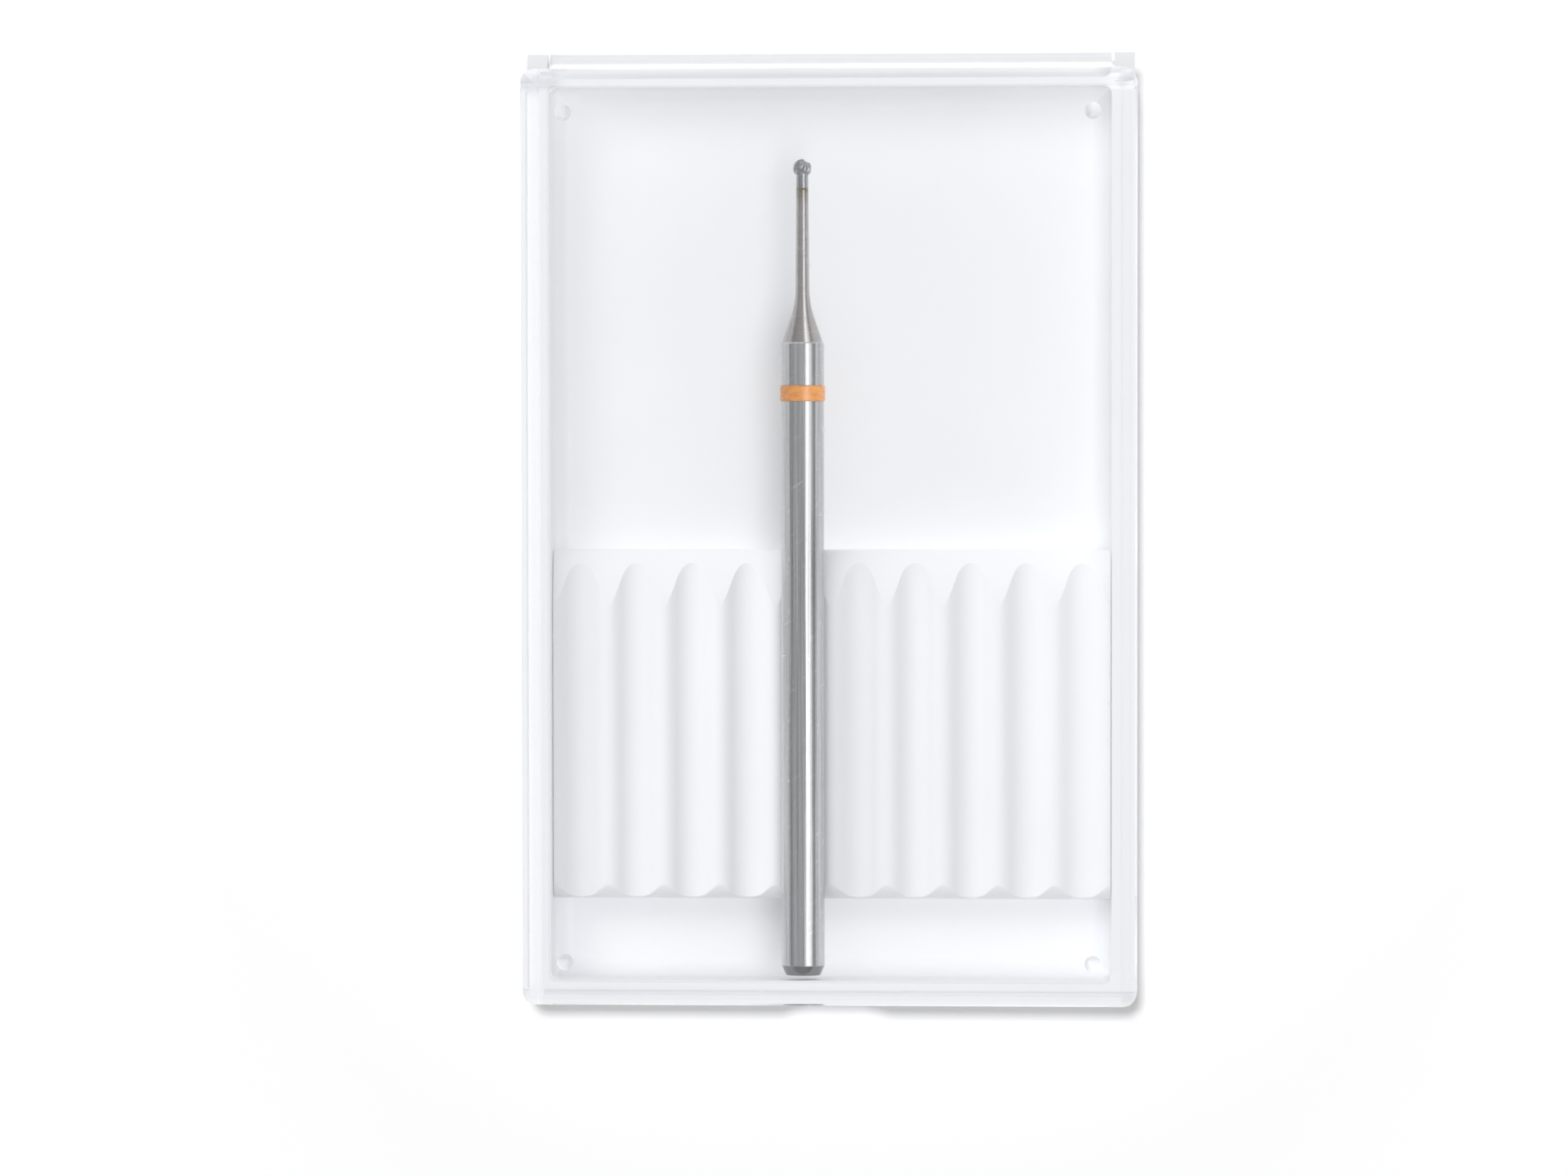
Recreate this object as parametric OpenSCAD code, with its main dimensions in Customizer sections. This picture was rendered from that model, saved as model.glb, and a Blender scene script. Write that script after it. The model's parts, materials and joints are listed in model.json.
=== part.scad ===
// Long-neck round bur with a straight shank, lying in a small hinged storage case.
// Millimetres. X runs across the case, Y along the instrument toward its ball, Z up out of the lid.
// The origin is on the table, under the middle of the closed case.

/* [Instrument] */
// Length from the tail to the tip of the ball
bur_l = 44.5; // [30:0.5:70]
// Diameter of the shank
shank_d = 2.35; // [1.6:0.05:3.2]
// Diameter of the ball
head_d = 1; // [0.8:0.05:1.6]
// Diameter of the neck just behind the ball
neck_front_d = 0.64; // [0.4:0.02:0.76]
// Diameter of the neck where the flare begins
neck_root_d = 0.75; // [0.5:0.02:1]
// Distance from the tip to the start of the flare
neck_l = 7.8; // [5:0.1:10]
// Length of the flare from neck to shank
flare_l = 2.15; // [1.5:0.05:3]
// Height of the step where the flare meets the shank
flare_step = 0.07; // [0:0.01:0.15]
// Radius of the hollow curve between neck and flare
blend_r = 5; // [2:0.5:8]
// Distance from the tip to the joint between carbide and steel
joint_at = 1.6; // [1.2:0.05:3]
// Thickness of the layer of braze
braze_t = 0.06; // [0.04:0.01:0.2]
// How far the braze stands out round the joint
braze_proud = 0.012; // [0:0.002:0.03]
// Length of the chamfer at the tail
tail_bevel_l = 0.54; // [0.2:0.02:1]
// Depth of the chamfer at the tail
tail_bevel = 0.24; // [0.1:0.02:0.4]

/* [Blades of the ball] */
// Number of rings of flutes; each ring cuts two flutes
flute_rings = 4; // [3:1:5]
// Radius of a flute's hollow
flute_r = 0.15; // [0.1:0.01:0.18]
// Depth of a flute below the ball's surface
flute_depth = 0.075; // [0.04:0.005:0.09]
// Lean of the flutes away from the axis, in degrees
flute_lean = 24; // [20:1:30]

/* [Colour ring] */
// Distance from the tip to the front of the ring
ring_at = 12.3; // [10.5:0.1:16]
// Width of the ring
ring_w = 0.85; // [0.5:0.05:2]
// Depth of the ring's groove in the shank
ring_groove = 0.18; // [0.1:0.01:0.3]
// How far the ring stands out of the shank
ring_proud = 0.06; // [0:0.01:0.15]
// Rounding of the ring's edges
ring_edge = 0.05; // [0.02:0.01:0.08]

/* [Rack] */
// Number of grooves
groove_n = 10; // [4:1:16]
// How much wider the grooves' pitch is than the shank
groove_room = 0.7; // [0.5:0.05:1.2]
// Radius of the grooves beyond the shank's own
groove_ease = 0.125; // [0.05:0.025:0.25]
// Depth of the grooves below the crests
groove_depth = 0.55; // [0.5:0.05:0.75]
// Groove that holds the instrument, counted from the left
groove_used = 5; // [1:1:10]
// Length of the rack
rack_l = 19.1; // [10:0.1:24]
// Height of the rack's crests above the tray's floor
rack_h = 2.5; // [2:0.05:4]
// Distance from the front wall to the rack
rack_from_front = 4.35; // [2:0.05:6]
// Rounding of the rack's front end
rack_front_r = 1; // [0.5:0.1:1.9]
// Length of the rack's rounded rear end
rack_rear_l = 3.6; // [2.4:0.1:4]
// How far the rack falls at its rear end
rack_rear_drop = 0.9; // [0.8:0.05:1.2]
// Diameter of the pegs under the rack
peg_d = 1.8; // [1:0.1:2.4]
// Length of the pegs under the rack
peg_l = 0.6; // [0.3:0.05:0.7]
// Distance between the two pegs
peg_pitch = 18; // [6:0.5:20]

/* [Tray] */
// Thickness of the floor
floor_t = 1.2; // [1:0.05:2]
// Height of the tray's wall, where the lid meets it
tray_h = 4.6; // [3.6:0.1:6.5]
// Thickness of the two side walls
side_wall = 1.4; // [1.15:0.05:2]
// Thickness of the front wall
front_wall = 1.2; // [1.1:0.05:2]
// Thickness of the rear wall
rear_wall = 0.9; // [0.75:0.05:1.5]
// Thickness of the lip that centres the lid
lip_t = 0.5; // [0.4:0.02:0.6]
// Height of the lip above the tray's wall
lip_h = 1; // [0.6:0.05:1.2]
// Radius of the upright outer corners
corner_r = 0.9; // [0.4:0.05:1.1]
// Rounding of the edges that the case rests on
foot_r = 0.4; // [0.2:0.05:0.8]
// Rounding between floor and walls inside
floor_r = 1; // [0.2:0.05:1.2]
// Radius of the upright inner corners
inner_corner_r = 0.5; // [0.2:0.05:1]
// Depth of the fingernail recess in the front wall
nail_depth = 0.45; // [0.2:0.05:0.5]
// Radius of the fingernail recess
nail_r = 10; // [6:0.5:16]
// Height of the fingernail recess
nail_h = 1.5; // [0.8:0.1:2]

/* [Lid] */
// Height of the lid above the tray's wall
lid_h = 4.4; // [3:0.1:6]
// Thickness of the lid's plate
lid_t = 1; // [0.8:0.05:1.5]
// Rounding of the lid's top edges
lid_edge_r = 0.8; // [0.3:0.05:0.9]
// Rounding of the lid's inner edges
lid_in_r = 0.5; // [0.2:0.05:0.8]
// Diameter of the pips on the lid's corners
pip_d = 0.9; // [0.5:0.05:1.4]
// Height of the pips
pip_h = 0.2; // [0.1:0.02:0.3]
// Distance from the lid's faces to the middle of a pip
pip_in = 2.4; // [1.5:0.1:4]
// Length of the snap bead at the front
snap_l = 8; // [4:0.5:14]
// How far the snap bead stands out of the lip
snap_out = 0.2; // [0.12:0.02:0.24]

/* [Hinge] */
// Radius of the hinge barrel
hinge_r = 0.8; // [0.7:0.02:0.96]
// Height of the hinge axis above the tray's wall
hinge_rise = 0.6; // [0.55:0.02:0.75]
// Distance from the rear face to the hinge axis
hinge_back = 0.12; // [0.1:0.01:0.2]
// Width of each hinge ear
ear_w = 1.1; // [1.05:0.05:2.5]
// Distance from the side face to the ear
ear_inset = 0.15; // [0.05:0.05:0.4]
// Diameter of the hinge pins on the lid
pin_d = 0.8; // [0.6:0.02:0.96]
// Length of each hinge pin inside its ear
pin_l = 0.65; // [0.4:0.05:0.75]

/* [Clearances] */
// Gap between lid and tray where they close
part_gap = 0.05; // [0.02:0.01:0.1]
// Gap between the lip and the lid's skirt
lip_gap = 0.1; // [0.05:0.01:0.15]
// Radial gap of the hinge pins
pin_gap = 0.05; // [0.02:0.01:0.1]
// Gap round the hinge barrel and the ears
barrel_gap = 0.15; // [0.1:0.01:0.25]
// Gap between the shank and its groove
seat_gap = 0.04; // [0.02:0.01:0.1]
// Gap between the rack and each side wall
rack_gap = 0.05; // [0.03:0.01:0.3]
// Radial gap of the pegs, and the room below them
peg_gap = 0.05; // [0.02:0.01:0.1]
// Radial gap between the colour ring and its groove
ring_gap = 0.015; // [0:0.005:0.05]
// Gap between the tail and the front wall
tail_gap = 0.25; // [0.1:0.05:1]
// Free run between the ball and the rear wall
head_gap = 3.95; // [1:0.05:8]

/* [Hidden] */
$fn = 96;
bite = 0.01;
crest_bite = 0.005;

// Rack and case, sized round the instrument
groove_pitch = shank_d + groove_room;
groove_r = shank_d / 2 + groove_ease;
wave_r = (groove_depth * groove_depth + groove_pitch * groove_pitch / 4) / (2 * groove_depth);
crest_r = wave_r - groove_r + crest_bite;
wave_mid = groove_depth * groove_r / wave_r;
rack_w = groove_n * groove_pitch;
inner_w = rack_w + 2 * rack_gap;
inner_l = tail_gap + bur_l + head_gap;
case_w = inner_w + 2 * side_wall;
case_l = front_wall + inner_l + rear_wall + hinge_back + hinge_r;
case_h = tray_h + lid_h;
lid_z = tray_h + part_gap;

// Faces along the case
front_y = -case_l / 2;
front_in = front_y + front_wall;
rear_in = front_in + inner_l;
rear_y = rear_in + rear_wall;
body_l = rear_y - front_y;
body_y = (front_y + rear_y) / 2;
inner_y = (front_in + rear_in) / 2;

// Hinge
hinge_y = rear_y + hinge_back;
hinge_z = tray_h + hinge_rise;
notch_r = hinge_r + barrel_gap;
ear_out = case_w / 2 - ear_inset;
ear_in = ear_out - ear_w;
barrel_l = 2 * (ear_in - barrel_gap);
web_l = hinge_r;

// Rack
rack_front = front_in + rack_from_front;
rack_y = rack_front + rack_l / 2;
rack_top = floor_t + rack_h;
rack_chamfer = floor_r + rack_gap;
rack_end_h = rack_h + 2 * bite;
rack_rear_r = (rack_rear_l * rack_rear_l + rack_rear_drop * rack_rear_drop) / (2 * rack_rear_drop);

// Instrument
shank_r = shank_d / 2;
head_r = head_d / 2;
bur_x = (groove_used - (groove_n + 1) / 2) * groove_pitch;
bur_z = rack_top - groove_depth + seat_gap + shank_r;
tail_y = front_in + tail_gap;
flare_at = neck_l + flare_l;
flare_r = shank_r - flare_step;
steel_at = joint_at + braze_t;
ring_r = shank_r + ring_proud;
ring_seat_r = shank_r - ring_groove;

// Skirt of the lid and snap
skirt_w = inner_w + 2 * (lip_t + lip_gap);
snap_z = tray_h + lip_h / 2;
lip_front = front_in - lip_t;
lid_swing = norm([hinge_y - rear_in, hinge_z - lid_z]);
lip_rear = hinge_y - lid_swing - lip_gap;

// Height above the tail of a point that lies t behind the tip
function from_tip(t) = bur_l - t;

// Radius of the neck at t behind the tip
function neck_r(t) = (neck_front_d + (neck_root_d - neck_front_d) * (t - head_r) / (neck_l - head_r)) / 2;

// Step of length d from point p toward point q
function toward(p, q, d) = p + (q - p) * d / norm(q - p);

// Stands an upright turned piece in its groove, tail to the front
module lay_in_groove() {
    translate([bur_x, tail_y, bur_z])
        rotate([-90, 0, 0])
            children();
}

// Rectangle with round corners, centred
module round_outline(w, l, r) {
    square([w - 2 * r, l], center = true);
    square([w, l - 2 * r], center = true);
    for (x = [-1, 1], y = [-1, 1])
        translate([x * (w / 2 - r), y * (l / 2 - r)])
            circle(r);
}

// Rectangle of height h that stands on the X axis, with its two top corners round
module arch_outline(w, h, r) {
    translate([-w / 2, 0])
        square([w, h - r]);
    translate([-w / 2 + r, 0])
        square([w - 2 * r, h]);
    for (x = [-1, 1])
        translate([x * (w / 2 - r), h - r])
            circle(r);
}

// Block on the XY plane with round upright corners and round top edges
module soft_block(w, l, h, corner, edge) {
    intersection() {
        linear_extrude(h)
            round_outline(w, l, corner);
        rotate([90, 0, 0])
            linear_extrude(l + 1, center = true)
                arch_outline(w, h, edge);
        rotate([90, 0, 90])
            linear_extrude(w + 1, center = true)
                arch_outline(l, h, edge);
    }
}

// The same block upside down, from z = 0 up to h
module soft_pan(w, l, h, corner, edge) {
    translate([0, 0, h])
        mirror([0, 0, 1])
            soft_block(w, l, h, corner, edge);
}

// Round bar along X, centred
module bar_x(r, l) {
    rotate([0, 90, 0])
        cylinder(r = r, h = l, center = true);
}

// Hinge line, for whatever turns about it
module at_hinge() {
    translate([0, hinge_y, hinge_z])
        children();
}

// Both ends of the hinge: the children are drawn at +X and mirrored
module both_sides() {
    children();
    mirror([1, 0, 0])
        children();
}

// Bead across the front of the lip that the lid snaps over
module snap_bead(r) {
    translate([0, lip_front, snap_z])
        bar_x(r, snap_l + 2 * (r - snap_out));
}

// Ear at the rear corner with a blind bore for the lid's pin
module hinge_ear() {
    difference() {
        union() {
            translate([(ear_in + ear_out) / 2, hinge_y, hinge_z])
                bar_x(hinge_r, ear_w);
            translate([ear_in, hinge_y - web_l, floor_t])
                cube([ear_w, web_l, hinge_z - floor_t]);
        }
        translate([ear_in, hinge_y, hinge_z])
            rotate([0, 90, 0])
                cylinder(r = pin_d / 2 + pin_gap, h = 2 * (pin_l + barrel_gap), center = true);
    }
}

// White tray: floor, walls, lip and hinge ears
module case_tray() {
    color("white")
        difference() {
            union() {
                difference() {
                    union() {
                        translate([0, body_y, 0])
                            soft_pan(case_w, body_l, tray_h, corner_r, foot_r);
                        translate([-inner_w / 2 - lip_t, lip_front, tray_h - lip_h])
                            cube([inner_w + 2 * lip_t, lip_rear - lip_front, 2 * lip_h]);
                        snap_bead(snap_out);
                    }
                    translate([0, inner_y, floor_t])
                        soft_pan(inner_w, inner_l, case_h, inner_corner_r, floor_r);
                    at_hinge()
                        bar_x(notch_r, barrel_l + 2 * barrel_gap);
                }
                both_sides()
                    hinge_ear();
            }
            translate([0, front_y + nail_depth - nail_r, tray_h - nail_h])
                cylinder(r = nail_r, h = nail_h + bite);
            for (x = [-1, 1])
                translate([x * peg_pitch / 2, rack_y, floor_t - peg_l - peg_gap])
                    cylinder(d = peg_d + 2 * peg_gap, h = peg_l + peg_gap + bite);
        }
}

// The rack seen from its right side: a short round front end and a long falling rear end
module rack_outline() {
    translate([-rack_l / 2 + rack_front_r, -1])
        square([rack_l - rack_front_r - rack_rear_l, rack_end_h + 1]);
    translate([-rack_l / 2, -1])
        square([2 * rack_front_r, rack_end_h - rack_front_r + 1]);
    translate([-rack_l / 2 + rack_front_r, rack_end_h - rack_front_r])
        circle(rack_front_r);
    intersection() {
        translate([rack_l / 2 - rack_rear_l - 1, -1])
            square([rack_rear_l + 1, rack_end_h + 2]);
        translate([rack_l / 2 - rack_rear_l, rack_end_h - rack_rear_r])
            circle(rack_rear_r);
    }
}

// The rack seen from its front end: a wave of round grooves and round crests
module rack_wave() {
    groove_floor = rack_h - groove_depth;
    difference() {
        union() {
            polygon([
                [-rack_w / 2 + rack_chamfer, 0],
                [rack_w / 2 - rack_chamfer, 0],
                [rack_w / 2, rack_chamfer],
                [rack_w / 2, groove_floor + wave_mid],
                [-rack_w / 2, groove_floor + wave_mid],
                [-rack_w / 2, rack_chamfer]
            ]);
            intersection() {
                translate([-rack_w / 2, groove_floor])
                    square([rack_w, groove_depth + 1]);
                for (i = [0 : groove_n])
                    translate([(i - groove_n / 2) * groove_pitch, rack_h - crest_r])
                        circle(crest_r);
            }
        }
        for (i = [0 : groove_n - 1])
            translate([(i - (groove_n - 1) / 2) * groove_pitch, groove_floor + groove_r])
                circle(groove_r);
    }
}

// White rack of round grooves, held in the tray by two pegs
module groove_rack() {
    color("whitesmoke") {
        intersection() {
            translate([0, rack_y, floor_t])
                rotate([90, 0, 90])
                    linear_extrude(rack_w + 1, center = true)
                        rack_outline();
            translate([0, rack_y, floor_t])
                rotate([90, 0, 0])
                    linear_extrude(rack_l + 1, center = true)
                        rack_wave();
        }
        for (x = [-1, 1])
            translate([x * peg_pitch / 2, rack_y, floor_t - peg_l])
                cylinder(d = peg_d, h = peg_l + bite);
    }
}

// Low round pip on the lid
module pip() {
    ball_r = (pip_d * pip_d / 4 + pip_h * pip_h) / (2 * pip_h);
    intersection() {
        translate([0, 0, pip_h - ball_r])
            sphere(ball_r);
        translate([0, 0, -bite])
            cylinder(d = 2 * pip_d, h = pip_h + 2 * bite);
    }
}

// Clear lid with its hinge barrel and pins
module case_lid() {
    color("lightcyan", 0.35) {
        difference() {
            translate([0, body_y, lid_z])
                soft_block(case_w, body_l, case_h - lid_z, corner_r, lid_edge_r);
            translate([0, inner_y, lid_z - bite])
                soft_block(inner_w, inner_l, case_h - lid_t - lid_z + bite, lid_in_r, lid_in_r);
            translate([-skirt_w / 2, lip_front - lip_gap, lid_z - bite])
                cube([skirt_w, rear_in - lip_front + lip_gap, lip_h + lip_gap]);
            snap_bead(snap_out + lip_gap);
            both_sides()
                translate([ear_in - barrel_gap, hinge_y, hinge_z])
                    rotate([0, 90, 0])
                        cylinder(r = notch_r, h = case_w);
            both_sides()
                translate([ear_in - barrel_gap, hinge_y - notch_r, lid_z - bite])
                    cube([case_w, 2 * notch_r, hinge_z - lid_z + bite]);
        }
        at_hinge() {
            bar_x(hinge_r, barrel_l);
            bar_x(pin_d / 2, barrel_l + 2 * (barrel_gap + pin_l));
        }
        for (x = [-1, 1], y = [front_y + pip_in, rear_y - pip_in])
            translate([x * (case_w / 2 - pip_in), y, case_h])
                pip();
    }
}

// Steel shank, flare and neck, turned in one piece
module shank() {
    root = [neck_root_d / 2, from_tip(neck_l)];
    front = [neck_r(steel_at), from_tip(steel_at)];
    back = [flare_r, from_tip(flare_at)];
    along = (front - root) / norm(front - root) + (back - root) / norm(back - root);
    half_turn = acos(norm(along) / 2);
    run = blend_r / tan(half_turn);
    middle = root + along / norm(along) * blend_r / sin(half_turn);
    color("silver")
        lay_in_groove()
            rotate_extrude() {
                difference() {
                    polygon([
                        [0, 0],
                        [shank_r - tail_bevel, 0],
                        [shank_r, tail_bevel_l],
                        [shank_r, from_tip(flare_at + flare_step)],
                        back,
                        root,
                        front,
                        [0, from_tip(steel_at)]
                    ]);
                    translate([ring_seat_r, from_tip(ring_at + ring_w)])
                        square([shank_r, ring_w]);
                }
                difference() {
                    polygon([toward(root, front, run), root, toward(root, back, run)]);
                    translate(middle)
                        circle(blend_r, $fn = 360);
                }
            }
}

// Orange ring in the shank's groove
module colour_ring() {
    color("orange")
        lay_in_groove()
            rotate_extrude()
                polygon([
                    [ring_seat_r + ring_gap, from_tip(ring_at)],
                    [ring_seat_r + ring_gap, from_tip(ring_at + ring_w)],
                    [ring_r - ring_edge, from_tip(ring_at + ring_w)],
                    [ring_r, from_tip(ring_at + ring_w - ring_edge)],
                    [ring_r, from_tip(ring_at + ring_edge)],
                    [ring_r - ring_edge, from_tip(ring_at)]
                ]);
}

// Thin layer of braze between the steel neck and the carbide stub
module braze_joint() {
    color("darkkhaki")
        lay_in_groove()
            translate([0, 0, from_tip(steel_at)])
                cylinder(r = neck_r(steel_at) + braze_proud, h = braze_t);
}

// Carbide ball with leaning flutes, on its short stub
module ball_head() {
    color("dimgray")
        lay_in_groove() {
            translate([0, 0, from_tip(head_r)])
                difference() {
                    sphere(head_r);
                    for (i = [0 : flute_rings - 1])
                        rotate([0, 0, i * 180 / flute_rings])
                            rotate([90 + flute_lean, 0, 0])
                                rotate_extrude()
                                    translate([head_r + flute_r - flute_depth, 0])
                                        circle(flute_r);
                }
            translate([0, 0, from_tip(joint_at)])
                cylinder(r1 = neck_r(joint_at), r2 = neck_r(head_r), h = joint_at - head_r);
        }
}

case_tray();
groove_rack();
case_lid();
shank();
colour_ring();
braze_joint();
ball_head();
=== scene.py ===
import json
import math

import bpy
from mathutils import Matrix, Vector


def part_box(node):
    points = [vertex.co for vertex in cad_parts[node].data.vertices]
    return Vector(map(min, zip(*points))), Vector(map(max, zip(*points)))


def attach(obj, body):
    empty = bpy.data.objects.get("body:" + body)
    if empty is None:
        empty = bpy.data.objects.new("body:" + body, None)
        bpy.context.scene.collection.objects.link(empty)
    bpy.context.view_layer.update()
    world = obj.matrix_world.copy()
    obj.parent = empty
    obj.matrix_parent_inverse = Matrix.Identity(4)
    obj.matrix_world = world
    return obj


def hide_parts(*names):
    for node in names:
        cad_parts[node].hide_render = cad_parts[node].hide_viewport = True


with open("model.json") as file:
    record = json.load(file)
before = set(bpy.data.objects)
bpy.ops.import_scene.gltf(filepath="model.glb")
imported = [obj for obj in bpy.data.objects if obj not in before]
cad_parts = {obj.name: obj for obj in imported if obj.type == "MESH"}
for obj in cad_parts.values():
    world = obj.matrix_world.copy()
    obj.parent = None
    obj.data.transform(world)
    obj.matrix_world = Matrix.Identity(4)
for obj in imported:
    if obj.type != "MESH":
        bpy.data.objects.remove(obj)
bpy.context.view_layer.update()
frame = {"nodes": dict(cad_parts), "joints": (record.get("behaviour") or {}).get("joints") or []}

MM = 0.001

# Instrument, in mm. Distances run from the tail toward the ball.
SHANK_R = 1.175
BEVEL_L = 0.54
BEVEL_DEPTH = 0.24
RING_GROOVE = 0.18
RING_EDGE = 0.05
FLARE_STEP = 0.07
FLARE_L = 2.15
NECK_L = 7.8
NECK_ROOT_R = 0.375
NECK_FRONT_R = 0.327
NECK_BLEND_R = 5
HEAD_R = 0.5
STUB_R = 0.325
EDGE_R = 0.02
CORE_R = 0.02

# Hinge line of the lid, in mm from the middle of the case, and how far the painted shade at the hinge
# reaches in front of it
HINGE_Y = 25.06
HINGE_SHADE_L = 0.5

# Blades of the ball, in mm and degrees
FLUTE_RINGS = 4
FLUTE_R = 0.15
FLUTE_DEPTH = 0.075
FLUTE_LEAN = 24

# Fineness of the turned meshes. Extra rows beside each fillet, HOLD mm away, keep its shading crisp.
SIDES = 128
EDGE_STEPS = 6
CURVE_STEPS = 24
LONG_FILLET = 1
HOLD = 0.02
HEAD_ROWS = 120

# Least distance from the axis, so that nothing is divided by zero
TINY = 1e-6

# Colours of the materials. Two colours are those between which a surface varies.
TRAY_WHITE = ((0.905, 0.913, 0.926), (0.925, 0.931, 0.942))
RACK_WHITE = ((0.885, 0.892, 0.905), (0.905, 0.91, 0.92))
# Grey painted towards the hinge as shade, so that the hinge ears don't render plain white
HINGE_SHADE_GREY = (0.77, 0.775, 0.785)
LID_TINT = (0.985, 0.992, 1, 1)
LID_PASSES = (0.967, 0.97, 0.975, 1)
POLISHED_STEEL = ((0.43, 0.43, 0.43), (0.72, 0.72, 0.715))
SCRATCHED_STEEL = (0.8, 0.8, 0.8)
# Darker steel painted on the tail bevel as shade
BEVEL_SHADE_STEEL = (0.34, 0.34, 0.34)
TURNED_STEEL = ((0.45, 0.43, 0.415), (0.54, 0.515, 0.495))
HEATED_STEEL = (0.36, 0.33, 0.27)
RING_ORANGE = ((0.76, 0.285, 0.065), (0.86, 0.385, 0.115))
BRAZE_YELLOW = ((0.42, 0.33, 0.17), (0.56, 0.5, 0.33))
CARBIDE_GREY = ((0.32, 0.32, 0.325), (0.52, 0.52, 0.525))
FLOOR_WHITE = (0.9, 0.9, 0.9, 1)

# Gloss of the materials. Two numbers are those between which the roughness varies.
PLASTIC_IOR = 1.49
PLASTIC_ROUGHNESS = (0.36, 0.5)
LID_ROUGHNESS = 0.1
POLISHED_ROUGHNESS = (0.13, 0.25)
TURNED_ROUGHNESS = (0.2, 0.28)
RING_IOR = 1.5
RING_COAT = 0.3
RING_ROUGHNESS = (0.22, 0.36)
BRAZE_ROUGHNESS = (0.3, 0.45)
CARBIDE_ROUGHNESS = (0.14, 0.26)
FLOOR_ROUGHNESS = 0.9

# Sizes of the surfaces' detail, in mm, as one number or one for each axis
CLOUDS = 9
GLOSS_PATCHES = 0.7
MOULD_TEXTURE = 0.12
LID_WAVES = 6
LID_SCUFFS = (0.07, 2.5, 2.5)
LENGTHWISE_MARKS = (0.09, 14, 0.09)
TURNING_MARKS = (3, 0.03, 3)
SCRATCHES = (0.05, 1.6, 0.4)
RING_PATCHES = (0.5, 0.2, 0.5)
HEAT_PATCHES = 0.12
WHEEL_MARKS = (0.03, 0.4, 0.03)

# Depths of the surfaces' detail, in mm, and the shares that scuffs and turning marks have in it
MOULD_DEPTH = 0.006
LID_DEPTH = 0.004
STEEL_DEPTH = 0.0025
RING_DEPTH = 0.003
WHEEL_DEPTH = 0.001
SCUFF_SHARE = 0.3
TURNING_SHARE = 0.15

# Levels between which most noise lies
NOISE_LOW = 0.3
NOISE_HIGH = 0.7

# Slant of scuffs and scratches in degrees, and the levels of noise at which they start and are full
SCUFF_TURN = 35
SCUFF_LEVELS = (0.7, 0.76)
SCRATCH_TURN = -55
SCRATCH_LEVELS = (0.7, 0.74)

# Lengths over which one finish of the steel gives way to the next, in mm
NECK_BLUR = 0.03
BEVEL_BLUR = 0.04
HEAT_L = 0.9

# Camera, fitted to the photograph
IMAGE_WIDTH = 1920
SENSOR_WIDTH = 36
FOCAL_PIXELS = 7373
CAMERA_DISTANCE = 330 * MM
CAMERA_AIM = Vector((-2.638, -3.307, 4.4)) * MM
LEAN_TO_RIGHT = math.radians(3.36)
LEAN_TO_REAR = math.radians(2)
CAMERA_ROLL = math.radians(-0.08)
CLIP_START = 10 * MM

# Lamps, in mm, with the level of light that each gives off
KEY_LIGHT = {"place": (-140, 180, 260), "aim": (0, 0, 4), "width": 180, "length": 180, "radiance": 3}
TOP_LIGHT = {"place": (85, -25, 290), "aim": (0, 0, 4), "width": 140, "length": 300, "radiance": 2.27}
FRONT_LIGHT = {"place": (-250, -250, 90), "aim": (0, 0, 4), "width": 120, "length": 200, "radiance": 1.6}
REAR_LIGHT = {"place": (250, 250, 90), "aim": (0, 0, 4), "width": 120, "length": 200, "radiance": 1.6}
RACK_LIGHT = {"place": (-100, 110, 225), "aim": (0, 0, 4), "width": 700, "length": 700, "radiance": 0.955}
STREAK_LIGHT = {"place": (128, 150, 290), "aim": (-1.5, 150, 4), "width": 55, "length": 500, "radiance": 2}
SIDE_LIGHT = {"place": (180, 120, 240), "aim": (-1.5, 120, 4), "width": 120, "length": 560, "radiance": 1.1}
FLOOR_LIGHT = {"place": (0, 65, 300), "aim": (0, 0, 0), "width": 36, "length": 36, "radiance": 144}

# Floor, in metres. Its own glow, seen only by the camera and in reflections, rises with the distance.
FLOOR_HALF = 1.5
GLOW_START = 0.04
GLOW_END = 0.25
FAR_GLOW = 0.65

# Level of the sky at each height, and how much bluer than grey it is
SKY = ((0, 1), (0.17, 1), (0.3, 0.41), (0.55, 0.41), (0.66, 0.57), (1, 0.54))
SKY_BLUE = 1.01

bur_spin = next(joint for joint in frame["joints"] if joint["name"] == "bur_spin")
bur_tail = Vector(bur_spin["pos_m"])


def reach(node):
    """How far from the tail a node of the instrument starts and ends, in mm."""
    low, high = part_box(node)
    return (low.y - bur_tail.y) / MM, (high.y - bur_tail.y) / MM


def radius(node):
    """Largest radius of a node of the instrument, in mm."""
    low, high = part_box(node)
    return (high.x - low.x) / 2 / MM


# Nodes and shading


def add(tree, kind, inputs=None, **settings):
    """New shader node. Its inputs are plain values or other nodes' outputs."""
    node = tree.nodes.new("ShaderNode" + kind)
    for name, value in settings.items():
        setattr(node, name, value)
    for name, value in (inputs or {}).items():
        if isinstance(value, bpy.types.NodeSocket):
            tree.links.new(value, node.inputs[name])
        else:
            node.inputs[name].default_value = value
    return node


def grain(tree, size, detail=3, turn=0):
    """Noise with features of that size in mm, one number or one for each axis, NOISE_LOW to NOISE_HIGH."""
    sizes = size if isinstance(size, tuple) else (size, size, size)
    mapping = {
        "Vector": add(tree, "TexCoord").outputs["Object"],
        "Rotation": (0, 0, math.radians(turn)),
        "Scale": [side * MM for side in sizes],
    }
    scaled = add(tree, "Mapping", mapping, vector_type="TEXTURE")
    texture = add(tree, "TexNoise", {"Vector": scaled.outputs[0], "Scale": 1, "Detail": detail})
    return texture.outputs["Fac"]


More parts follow.
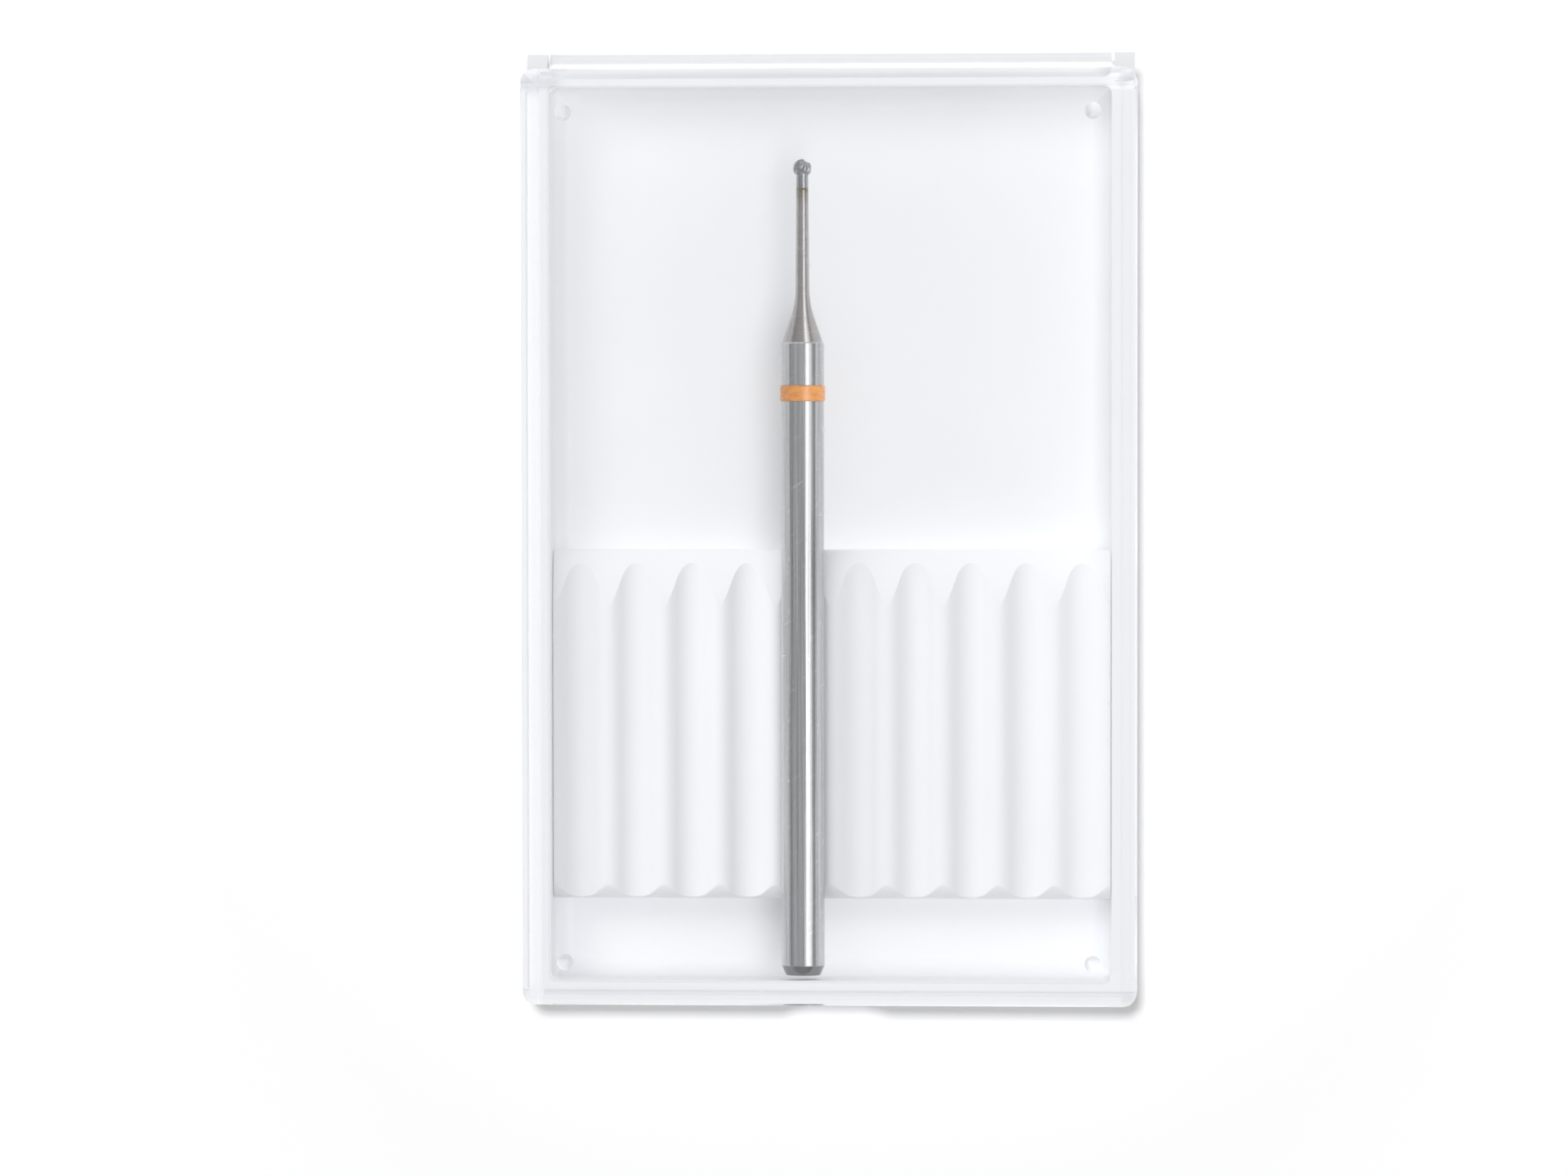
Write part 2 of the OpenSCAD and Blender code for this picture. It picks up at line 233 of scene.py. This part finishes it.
def spread(tree, value, low, high, start=NOISE_LOW, end=NOISE_HIGH):
    """The value, stretched so that start gives low and end gives high."""
    settings = {"Value": value, "From Min": start, "From Max": end, "To Min": low, "To Max": high}
    return add(tree, "MapRange", settings).outputs[0]


def patches(tree, size, detail=3):
    """Noise with features of that size in mm, from 0 to 1."""
    return spread(tree, grain(tree, size, detail), 0, 1)


def tint(tree, share, first, second):
    """Colour between the first, at share 0, and the second, at share 1."""
    mix = add(tree, "Mix", {0: share}, data_type="RGBA")
    for index, colour in ((6, first), (7, second)):
        if isinstance(colour, bpy.types.NodeSocket):
            tree.links.new(colour, mix.inputs[index])
        else:
            mix.inputs[index].default_value = (*colour, 1)
    return mix.outputs[2]


def zone(tree, start, end):
    """Rises from 0 to 1 between two places along Y, in mm from the piece's own origin."""
    place = add(tree, "TexCoord").outputs["Object"]
    along = add(tree, "SeparateXYZ", {0: place}).outputs["Y"]
    return spread(tree, along, 0, 1, start * MM, end * MM)


def bump(tree, height, depth):
    """Normal of a surface whose height varies by that depth, in mm."""
    return add(tree, "Bump", {"Height": height, "Distance": depth * MM, "Strength": 1}).outputs[0]


def new_material(name, inputs):
    """Material with one main shader. Returns it, its nodes and that shader."""
    material = bpy.data.materials.new(name)
    material.use_nodes = True
    tree = material.node_tree
    shader = tree.nodes["Principled BSDF"]
    for key, value in inputs.items():
        shader.inputs[key].default_value = value
    return material, tree, shader


def feed(tree, shader, **outputs):
    """Links outputs to the shader, with the input's spaces written as underscores."""
    for name, output in outputs.items():
        tree.links.new(output, shader.inputs[name.replace("_", " ")])


def moulded_plastic(name, whites):
    """White satin plastic with faint clouding, uneven gloss, mould texture and painted shade at the hinge.
    """
    material, tree, shader = new_material(name, {"IOR": PLASTIC_IOR})
    clouded = tint(tree, patches(tree, CLOUDS), *whites)
    feed(
        tree,
        shader,
        # Painted shade: the white turns grey towards the hinge line
        Base_Color=tint(tree, zone(tree, HINGE_Y - HINGE_SHADE_L, HINGE_Y), clouded, HINGE_SHADE_GREY),
        Roughness=spread(tree, grain(tree, GLOSS_PATCHES), *PLASTIC_ROUGHNESS),
        Normal=bump(tree, grain(tree, MOULD_TEXTURE, 2), MOULD_DEPTH),
    )
    return material


def clear_plastic():
    """Clear lid plastic that lets light through to the inside, with faint scuffs from handling."""
    values = {
        "Base Color": LID_TINT,
        "Transmission Weight": 1,
        "IOR": PLASTIC_IOR,
        "Roughness": LID_ROUGHNESS,
    }
    material, tree, shader = new_material("clear_plastic", values)
    scuffs = spread(tree, grain(tree, LID_SCUFFS, 1, SCUFF_TURN), 0, SCUFF_SHARE, *SCUFF_LEVELS)
    waves = add(tree, "Math", {0: grain(tree, LID_WAVES, 1), 1: scuffs}).outputs[0]
    feed(tree, shader, Normal=bump(tree, waves, LID_DEPTH))
    rays = add(tree, "LightPath").outputs
    see_through = add(tree, "BsdfTransparent", {"Color": LID_PASSES}).outputs[0]
    surface = shader.outputs[0]
    for kind in ("Is Diffuse Ray", "Is Glossy Ray", "Is Shadow Ray"):
        surface = add(tree, "MixShader", {0: rays[kind], 1: surface, 2: see_through}).outputs[0]
    tree.links.new(surface, tree.nodes["Material Output"].inputs["Surface"])
    return material


def ground_steel(flare_end, steel_end):
    """Shank ground lengthwise and lightly scratched, with painted shade on the tail bevel, neck ground
    round, heat-tinted at the braze.
    """
    material, tree, shader = new_material("steel", {"Metallic": 1})
    lengthwise = patches(tree, LENGTHWISE_MARKS, 4)
    around = patches(tree, TURNING_MARKS)
    scratch = spread(tree, grain(tree, SCRATCHES, 1, SCRATCH_TURN), 0, 1, *SCRATCH_LEVELS)
    is_neck = zone(tree, flare_end - NECK_BLUR, flare_end + NECK_BLUR)
    is_bevel = zone(tree, BEVEL_L, BEVEL_L - BEVEL_BLUR)
    is_heated = zone(tree, steel_end - HEAT_L, steel_end)
    polished = tint(tree, lengthwise, *POLISHED_STEEL)
    scratched = tint(tree, scratch, polished, SCRATCHED_STEEL)
    # Painted shade: the tail bevel is coloured darker than the shank
    bevel_shaded = tint(tree, is_bevel, scratched, BEVEL_SHADE_STEEL)
    turned = tint(tree, around, *TURNED_STEEL)
    heated = tint(tree, is_heated, turned, HEATED_STEEL)
    polish_roughness = spread(tree, lengthwise, *POLISHED_ROUGHNESS, 0, 1)
    turned_roughness = spread(tree, around, *TURNED_ROUGHNESS, 0, 1)
    soft_marks = spread(tree, around, 0, TURNING_SHARE, 0, 1)
    relief = add(tree, "Mix", {0: is_neck, 2: lengthwise, 3: soft_marks}).outputs[0]
    feed(
        tree,
        shader,
        Base_Color=tint(tree, is_neck, bevel_shaded, heated),
        Roughness=add(tree, "Mix", {0: is_neck, 2: polish_roughness, 3: turned_roughness}).outputs[0],
        Normal=bump(tree, relief, STEEL_DEPTH),
    )
    return material


def orange_lacquer():
    """Glossy orange of the colour ring, slightly uneven."""
    material, tree, shader = new_material("orange_ring", {"IOR": RING_IOR, "Coat Weight": RING_COAT})
    uneven = patches(tree, RING_PATCHES)
    feed(
        tree,
        shader,
        Base_Color=tint(tree, uneven, *RING_ORANGE),
        Roughness=spread(tree, uneven, *RING_ROUGHNESS, 0, 1),
        Normal=bump(tree, uneven, RING_DEPTH),
    )
    return material


def braze_metal():
    """Braze with patches of heat tint."""
    material, tree, shader = new_material("braze", {"Metallic": 1})
    heat = patches(tree, HEAT_PATCHES)
    feed(
        tree,
        shader,
        Base_Color=tint(tree, heat, *BRAZE_YELLOW),
        Roughness=spread(tree, heat, *BRAZE_ROUGHNESS, 0, 1),
    )
    return material


def ground_carbide():
    """Dark bright-ground carbide with the marks of the grinding wheel."""
    material, tree, shader = new_material("carbide", {"Metallic": 1})
    marks = patches(tree, WHEEL_MARKS)
    feed(
        tree,
        shader,
        Base_Color=tint(tree, marks, *CARBIDE_GREY),
        Roughness=spread(tree, marks, *CARBIDE_ROUGHNESS, 0, 1),
        Normal=bump(tree, marks, WHEEL_DEPTH),
    )
    return material


# Turned pieces of the instrument


def rounded(corners):
    """Outline through corners (radius, distance from the tail, fillet) in mm, with arcs at the fillets."""
    outline = []
    for index, (x, y, fillet) in enumerate(corners):
        corner = Vector((x, y))
        if not fillet:
            outline.append(corner)
            continue
        back = (Vector(corners[index - 1][:2]) - corner).normalized()
        ahead = (Vector(corners[(index + 1) % len(corners)][:2]) - corner).normalized()
        half = back.angle(ahead) / 2
        run = fillet / math.tan(half)
        middle = corner + (back + ahead).normalized() * fillet / math.sin(half)
        first = corner + back * run - middle
        last = corner + ahead * run - middle
        steps = EDGE_STEPS if fillet < LONG_FILLET else CURVE_STEPS
        outline.append(corner + back * (run + HOLD))
        begin = math.atan2(first.y, first.x)
        sweep = math.remainder(math.atan2(last.y, last.x) - begin, 2 * math.pi)
        for step in range(steps + 1):
            turn = begin + sweep * step / steps
            outline.append(middle + fillet * Vector((math.cos(turn), math.sin(turn))))
        outline.append(corner + ahead * (run + HOLD))
    return outline


def turned_mesh(name, rows, closed):
    """Piece of the instrument from rows of points round its axis, in mm from the tail."""
    sides = len(rows[0])
    points = [(x * MM, y * MM, z * MM) for row in rows for x, y, z in row]
    faces = []
    pairs = [(row, row + 1) for row in range(len(rows) - 1)]
    if closed:
        pairs.append((len(rows) - 1, 0))
    for here, there in pairs:
        for side in range(sides):
            after = (side + 1) % sides
            faces.append(
                (here * sides + side, there * sides + side, there * sides + after, here * sides + after)
            )
    if not closed:
        faces.append(tuple(range(sides)))
        faces.append(tuple(reversed(range(len(points) - sides, len(points)))))
    mesh = bpy.data.meshes.new(name)
    mesh.from_pydata(points, [], faces)
    mesh.shade_smooth()
    piece = bpy.data.objects.new(name, mesh)
    piece.location = bur_tail
    bpy.context.scene.collection.objects.link(piece)
    return piece


def circle(size, along):
    """Points round the instrument's axis at a radius and a distance from the tail."""
    turns = [2 * math.pi * side / SIDES for side in range(SIDES)]
    return [(size * math.cos(turn), along, -size * math.sin(turn)) for turn in turns]


def lathe(name, corners, closed=False):
    """Turned piece whose outline follows the corners."""
    return turned_mesh(name, [circle(x, y) for x, y in rounded(corners)], closed)


def flare_reach():
    """Where the flare ends at the shank and begins at the neck, in mm from the tail."""
    tip = reach("ball_head")[1]
    neck_start = tip - NECK_L
    return neck_start - FLARE_L, neck_start


def shank():
    """Tail bevel, shank with the ring's groove, step, flare, blended root and neck."""
    length = reach("shank")[1]
    ring_start, ring_end = reach("colour_ring")
    seat_r = SHANK_R - RING_GROOVE
    flare_end, flare_start = flare_reach()
    return lathe(
        "shank_turned",
        [
            (CORE_R, 0, 0),
            (SHANK_R - BEVEL_DEPTH, 0, EDGE_R),
            (SHANK_R, BEVEL_L, EDGE_R),
            (SHANK_R, ring_start, EDGE_R),
            (seat_r, ring_start, EDGE_R),
            (seat_r, ring_end, EDGE_R),
            (SHANK_R, ring_end, EDGE_R),
            (SHANK_R, flare_end - FLARE_STEP, EDGE_R),
            (SHANK_R - FLARE_STEP, flare_end, EDGE_R),
            (NECK_ROOT_R, flare_start, NECK_BLEND_R),
            (NECK_FRONT_R, length, EDGE_R),
            (CORE_R, length, 0),
        ],
    )


def colour_ring():
    """Ring with round outer edges that stands a little out of its groove."""
    start, end = reach("colour_ring")
    outer = radius("colour_ring")
    inner = SHANK_R - RING_GROOVE + EDGE_R
    return lathe(
        "colour_ring_turned",
        [
            (inner, end, 0),
            (inner, start, 0),
            (outer, start, RING_EDGE),
            (outer, end, RING_EDGE),
        ],
        closed=True,
    )


def braze_joint():
    """Thin bulging layer of braze."""
    start, end = reach("braze_joint")
    outer = radius("braze_joint")
    return lathe(
        "braze_joint_turned",
        [
            (CORE_R, start, 0),
            (outer, start, EDGE_R),
            (outer, end, EDGE_R),
            (CORE_R, end, 0),
        ],
    )


def head_reach(direction, flute_normals, stub_l):
    """Distance from the ball's middle to the surface of ball, flutes or stub in that direction."""
    ring_r = HEAD_R + FLUTE_R - FLUTE_DEPTH
    surface = HEAD_R
    for normal in flute_normals:
        out_of_plane = ring_r * direction.dot(normal)
        if abs(out_of_plane) < FLUTE_R:
            in_plane = math.sqrt(ring_r**2 - out_of_plane**2)
            surface = min(surface, in_plane - math.sqrt(FLUTE_R**2 - out_of_plane**2))
    if direction.y < 0:
        across = max(math.hypot(direction.x, direction.z), TINY)
        surface = max(surface, min(STUB_R / across, -stub_l / direction.y))
    return surface


def ball_head():
    """Ball with leaning flutes ground into it, and the stub that carries it."""
    start, tip = reach("ball_head")
    middle = Vector((0, tip - HEAD_R, 0))
    lean = math.radians(FLUTE_LEAN)
    normals = []
    for ring in range(FLUTE_RINGS):
        turn = math.pi * ring / FLUTE_RINGS
        normals.append(
            Vector((math.cos(lean) * math.sin(turn), -math.sin(lean), math.cos(lean) * math.cos(turn)))
        )
    rows = []
    for row in range(HEAD_ROWS):
        polar = math.pi * (row + 0.5) / HEAD_ROWS
        directions = [Vector(point) for point in circle(math.sin(polar), -math.cos(polar))]
        rows.append([middle + d * head_reach(d, normals, middle.y - start) for d in directions])
    return turned_mesh("ball_head_ground", rows, False)


# Stage


def pale_floor():
    """White floor that shows the contact shadow and otherwise runs out to white."""
    corners = [(x * FLOOR_HALF, y * FLOOR_HALF, 0) for x, y in ((-1, -1), (1, -1), (1, 1), (-1, 1))]
    mesh = bpy.data.meshes.new("floor")
    mesh.from_pydata(corners, [], [(0, 1, 2, 3)])
    floor = bpy.data.objects.new("floor", mesh)
    bpy.context.scene.collection.objects.link(floor)
    values = {"Base Color": FLOOR_WHITE, "Roughness": FLOOR_ROUGHNESS, "Emission Color": (1, 1, 1, 1)}
    material, tree, shader = new_material("floor", values)
    rays = add(tree, "LightPath").outputs
    seen = rays["Is Camera Ray"]
    for kind in ("Is Glossy Ray", "Is Transmission Ray"):
        seen = add(tree, "Math", {0: seen, 1: rays[kind]}, operation="MAXIMUM").outputs[0]
    place = add(tree, "TexCoord").outputs["Object"]
    away = add(tree, "VectorMath", {0: place}, operation="LENGTH").outputs["Value"]
    glow = spread(tree, away, 0, FAR_GLOW, GLOW_START, GLOW_END)
    seen_glow = add(tree, "Math", {0: seen, 1: glow}, operation="MULTIPLY").outputs[0]
    feed(tree, shader, Emission_Strength=seen_glow)
    mesh.materials.append(material)
    return floor


def studio_world():
    """Soft sky: white at the horizon, a darker band above it and pale grey overhead."""
    world = bpy.data.worlds.new("studio")
    world.use_nodes = True
    tree = world.node_tree
    height = add(tree, "SeparateXYZ", {0: add(tree, "TexCoord").outputs["Generated"]}).outputs["Z"]
    ramp = add(tree, "ValToRGB", {0: height})
    stops = ramp.color_ramp.elements
    while len(stops) < len(SKY):
        stops.new(0.5)
    for stop, (place, level) in zip(stops, SKY):
        stop.position = place
        stop.color = (level, level, level * SKY_BLUE, 1)
    tree.links.new(ramp.outputs[0], tree.nodes["Background"].inputs["Color"])
    bpy.context.scene.world = world


def softbox(name, lamp_values, lit, shading):
    """Area lamp that lights only the first pieces, and only the second ones stand in its way."""
    place = Vector(lamp_values["place"]) * MM
    aim = Vector(lamp_values["aim"]) * MM
    lamp = bpy.data.lights.new(name, "AREA")
    lamp.shape = "RECTANGLE"
    lamp.size = lamp_values["width"] * MM
    lamp.size_y = lamp_values["length"] * MM
    lamp.energy = lamp_values["radiance"] * math.pi * lamp.size * lamp.size_y
    holder = bpy.data.objects.new(name, lamp)
    holder.location = place
    holder.rotation_euler = (aim - place).to_track_quat("-Z", "X").to_euler()
    holder.visible_camera = False
    bpy.context.scene.collection.objects.link(holder)
    for purpose, pieces in (("receiver", lit), ("blocker", shading)):
        group = bpy.data.collections.new(f"{name}_{purpose}")
        for piece in pieces:
            group.objects.link(piece)
        setattr(holder.light_linking, f"{purpose}_collection", group)


def photo_camera():
    """Camera above the case, leaning a little to the right and to the rear as in the photograph."""
    camera = bpy.data.cameras.new("camera")
    camera.sensor_width = SENSOR_WIDTH
    camera.lens = FOCAL_PIXELS * SENSOR_WIDTH / IMAGE_WIDTH
    camera.clip_start = CLIP_START
    holder = bpy.data.objects.new("camera", camera)
    back = Vector((math.sin(LEAN_TO_RIGHT), math.sin(LEAN_TO_REAR), 1))
    back.z = math.sqrt(1 - back.x**2 - back.y**2)
    right = Vector((0, 1, 0)).cross(back).normalized()
    facing = Matrix((right, back.cross(right), back)).transposed().to_4x4()
    place = Matrix.Translation(CAMERA_AIM + back * CAMERA_DISTANCE)
    holder.matrix_world = place @ facing @ Matrix.Rotation(CAMERA_ROLL, 4, "Z")
    bpy.context.scene.collection.objects.link(holder)
    bpy.context.scene.camera = holder


def put(piece, node, material):
    """The piece is shown instead of a node of the instrument, which is hidden, and joins the instrument's
    body with its material.
    """
    piece.data.materials.append(material)
    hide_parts(node)
    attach(piece, "bur")
    return piece


def paint(node, material):
    """New material on a node that is shown as the CAD made it."""
    materials = frame["nodes"][node].data.materials
    materials.clear()
    materials.append(material)
    return frame["nodes"][node]


tray = paint("case_tray", moulded_plastic("tray_plastic", TRAY_WHITE))
rack = paint("groove_rack", moulded_plastic("rack_plastic", RACK_WHITE))
lid = paint("case_lid", clear_plastic())

steel = put(shank(), "shank", ground_steel(flare_reach()[0], reach("shank")[1]))
ring = put(colour_ring(), "colour_ring", orange_lacquer())
braze = put(braze_joint(), "braze_joint", braze_metal())
ball = put(ball_head(), "ball_head", ground_carbide())

floor = pale_floor()
studio_world()

# As in the photograph, the case is lit from the rear left and the instrument from the right. Two low
# lamps fill the tray's walls. Each lamp names the pieces that it lights and then those that shade it.
case = (tray, rack, lid)
bur = (steel, ring, braze, ball)
softbox("key_light", KEY_LIGHT, (tray,), (tray, rack))
softbox("top_light", TOP_LIGHT, (tray, ring), bur)
softbox("front_light", FRONT_LIGHT, (tray,), (floor,))
softbox("rear_light", REAR_LIGHT, (tray,), (floor,))
softbox("rack_light", RACK_LIGHT, (rack,), (tray, rack) + bur)
softbox("streak_light", STREAK_LIGHT, bur, case)
softbox("side_light", SIDE_LIGHT, bur, case)
softbox("floor_light", FLOOR_LIGHT, (floor,), case)

photo_camera()
bpy.context.scene.view_settings.view_transform = "Standard"
